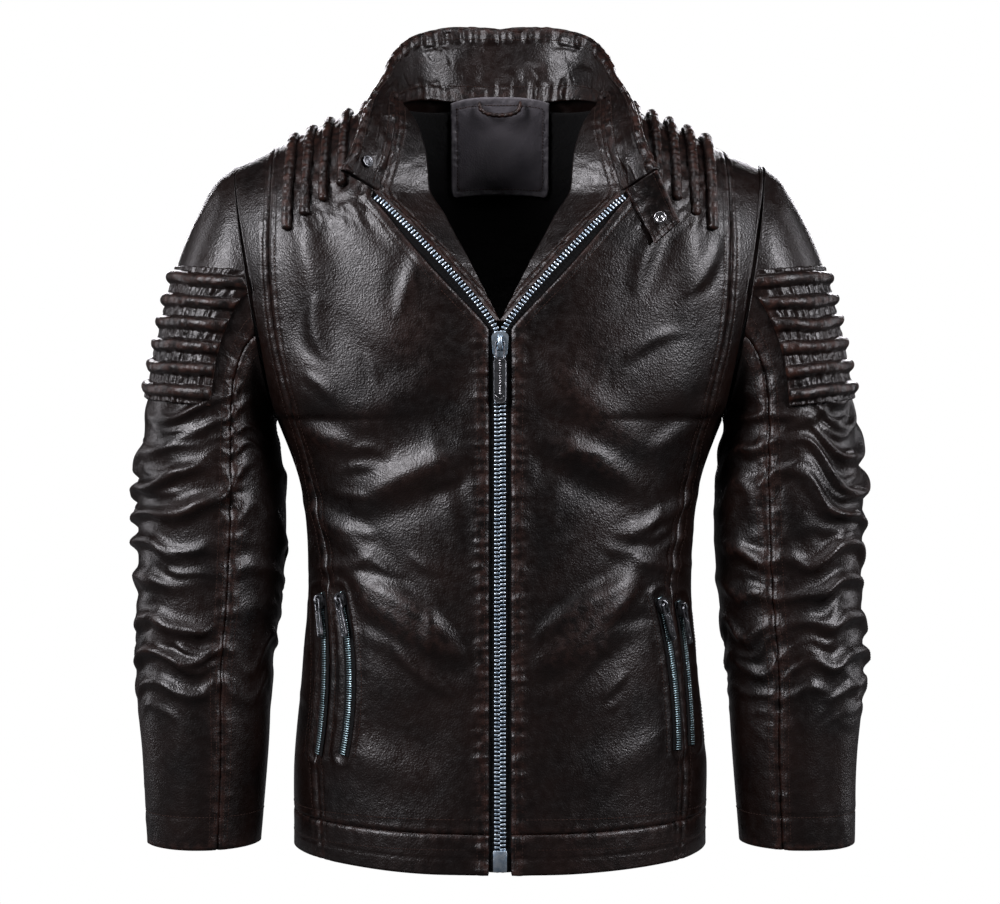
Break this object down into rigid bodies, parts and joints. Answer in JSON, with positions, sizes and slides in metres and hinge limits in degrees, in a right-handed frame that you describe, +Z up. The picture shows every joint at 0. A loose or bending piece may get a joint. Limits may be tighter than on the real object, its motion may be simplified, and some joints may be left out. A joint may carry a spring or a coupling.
{
  "type": "leather riding jacket",
  "caption": "Waist-length leather riding jacket with a stand collar, ribbed shoulders and upper sleeves, a metal front zip worn part open and paired zips at each pocket.",
  "frame": {"origin": "on the jacket's centre line, 620 mm above the hem, where a dress form's shoulders and neck carry it", "axes": "+Z up towards the collar, the front faces -Y, +X towards the wearer's left sleeve"},
  "size_m": [0.616, 0.239, 0.7131],
  "materials": {
    "shell_leather": "glossy dark brown, near black, with fine grain",
    "cord_leather": "glossy dark brown rubbed reddish along the raised cords",
    "fleece": "black short-pile fleece",
    "pocket_cloth": "black woven pocketing",
    "zip_tape": "black woven tape",
    "label_leather": "charcoal leather patch with a stitched border",
    "zip_metal": "silver with a blue cast",
    "pocket_metal": "silver with a blue-green cast",
    "gunmetal": "dark polished gunmetal"
  },
  "bodies": {
    "root": {"front_panel_left": "shell_leather", "side_panel_left": "shell_leather", "hem_band_left": "shell_leather", "lining_front_left": "fleece", "front_panel_right": "shell_leather", "side_panel_right": "shell_leather", "hem_band_right": "shell_leather", "lining_front_right": "fleece", "back_panel": "shell_leather", "hem_band_back": "shell_leather", "back_yoke": "shell_leather", "lining_back": "fleece", "neck_label": "label_leather", "zip_teeth_left": "zip_metal", "zip_tape_left": "zip_tape", "front_facing_left": "shell_leather", "zip_teeth_right": "zip_metal", "zip_tape_right": "zip_tape", "front_facing_right": "shell_leather", "zip_retainer_box": "zip_metal", "pocket_zip_left_inner": "pocket_metal", "pocket_zip_left_outer": "pocket_metal", "pocket_zip_right_inner": "pocket_metal", "pocket_zip_right_outer": "pocket_metal", "pocket_bag_left": "pocket_cloth", "shoulder_cord_left_1": "cord_leather", "shoulder_cord_left_2": "cord_leather", "shoulder_cord_left_3": "cord_leather", "shoulder_cord_left_4": "cord_leather", "shoulder_cord_left_5": "cord_leather", "pocket_bag_right": "pocket_cloth", "shoulder_cord_right_1": "cord_leather", "shoulder_cord_right_2": "cord_leather", "shoulder_cord_right_3": "cord_leather", "shoulder_cord_right_4": "cord_leather", "shoulder_cord_right_5": "cord_leather", "collar_outer": "shell_leather", "collar_inner": "shell_leather", "collar_snap_stud": "gunmetal"},
    "front_slider": {"front_zip_slider": "zip_metal"},
    "front_puller": {"front_zip_puller": "gunmetal"},
    "slider_left_inner": {"pocket_slider_left_inner": "gunmetal"},
    "puller_left_inner": {"pocket_puller_left_inner": "gunmetal"},
    "slider_left_outer": {"pocket_slider_left_outer": "gunmetal"},
    "puller_left_outer": {"pocket_puller_left_outer": "gunmetal"},
    "slider_right_inner": {"pocket_slider_right_inner": "gunmetal"},
    "puller_right_inner": {"pocket_puller_right_inner": "gunmetal"},
    "slider_right_outer": {"pocket_slider_right_outer": "gunmetal"},
    "puller_right_outer": {"pocket_puller_right_outer": "gunmetal"},
    "tab": {"collar_tab": "shell_leather", "tab_snap_cap": "gunmetal"},
    "loop": {"hanger_loop": "shell_leather"},
    "sleeve_left": {"sleeve_outer_left": "shell_leather", "sleeve_inner_left": "shell_leather", "sleeve_lining_left": "fleece", "sleeve_rib_panel_left": "cord_leather"},
    "sleeve_right": {"sleeve_outer_right": "shell_leather", "sleeve_inner_right": "shell_leather", "sleeve_lining_right": "fleece", "sleeve_rib_panel_right": "cord_leather"}
  },
  "joints": [
    {"name": "front_zip_travel", "type": "slide", "parent": "root", "child": "front_slider", "axis": [0, 0, -1], "range_m": [0, 0.385]},
    {"name": "front_puller_hinge", "type": "hinge", "parent": "front_slider", "child": "front_puller", "pos_m": [0, -0.1183, -0.2024], "axis": [-1, 0, 0], "range_deg": [0, 150]},
    {"name": "zip_travel_left_inner", "type": "hinge", "parent": "root", "child": "slider_left_inner", "pos_m": [-0.10111, -0.30504, -0.51384], "axis": [-0.685, 0.7269, -0.0486], "range_deg": [0, 18.98]},
    {"name": "puller_hinge_left_inner", "type": "hinge", "parent": "slider_left_inner", "child": "puller_left_inner", "pos_m": [0.13457, -0.08109, -0.41398], "axis": [-0.686, -0.666, -0.2931], "range_deg": [0, 150]},
    {"name": "zip_travel_left_outer", "type": "hinge", "parent": "root", "child": "slider_left_outer", "pos_m": [-0.03616, -0.3653, -0.50132], "axis": [-0.845, 0.5305, -0.0669], "range_deg": [0, 16.55]},
    {"name": "puller_hinge_left_outer", "type": "hinge", "parent": "slider_left_outer", "child": "puller_left_outer", "pos_m": [0.15188, -0.06189, -0.41803], "axis": [-0.5049, -0.8329, -0.2266], "range_deg": [0, 150]},
    {"name": "zip_travel_right_inner", "type": "hinge", "parent": "root", "child": "slider_right_inner", "pos_m": [-0.31939, 0.06157, -0.48389], "axis": [0.608, 0.7931, -0.0371], "range_deg": [0, 27.47]},
    {"name": "puller_hinge_right_inner", "type": "hinge", "parent": "slider_right_inner", "child": "puller_right_inner", "pos_m": [-0.13224, -0.08287, -0.41001], "axis": [-0.7643, 0.572, -0.2978], "range_deg": [0, 150]},
    {"name": "zip_travel_right_outer", "type": "hinge", "parent": "root", "child": "slider_right_outer", "pos_m": [-0.312, 0.15095, -0.48565], "axis": [0.7988, 0.599, -0.0561], "range_deg": [0, 24.42]},
    {"name": "puller_hinge_right_outer", "type": "hinge", "parent": "slider_right_outer", "child": "puller_right_outer", "pos_m": [-0.15077, -0.063, -0.412], "axis": [-0.5904, 0.7626, -0.2644], "range_deg": [0, 150]},
    {"name": "tab_flip", "type": "hinge", "parent": "root", "child": "tab", "pos_m": [0.11179, -0.10975, -0.07268], "axis": [-0.6497, 0.6662, -0.3662], "range_deg": [0, 90]},
    {"name": "loop_swing", "type": "hinge", "parent": "root", "child": "loop", "pos_m": [0, 0.05971, 0.01961], "axis": [-1, 0, 0], "range_deg": [0, 110]},
    {"name": "sleeve_swing_left", "type": "hinge", "parent": "root", "child": "sleeve_left", "pos_m": [0.22425, 0, -0.047], "axis": [0, -1, 0], "range_deg": [0, 25]},
    {"name": "sleeve_swing_right", "type": "hinge", "parent": "root", "child": "sleeve_right", "pos_m": [-0.22425, 0, -0.047], "axis": [0, 1, 0], "range_deg": [0, 25]}
  ]
}
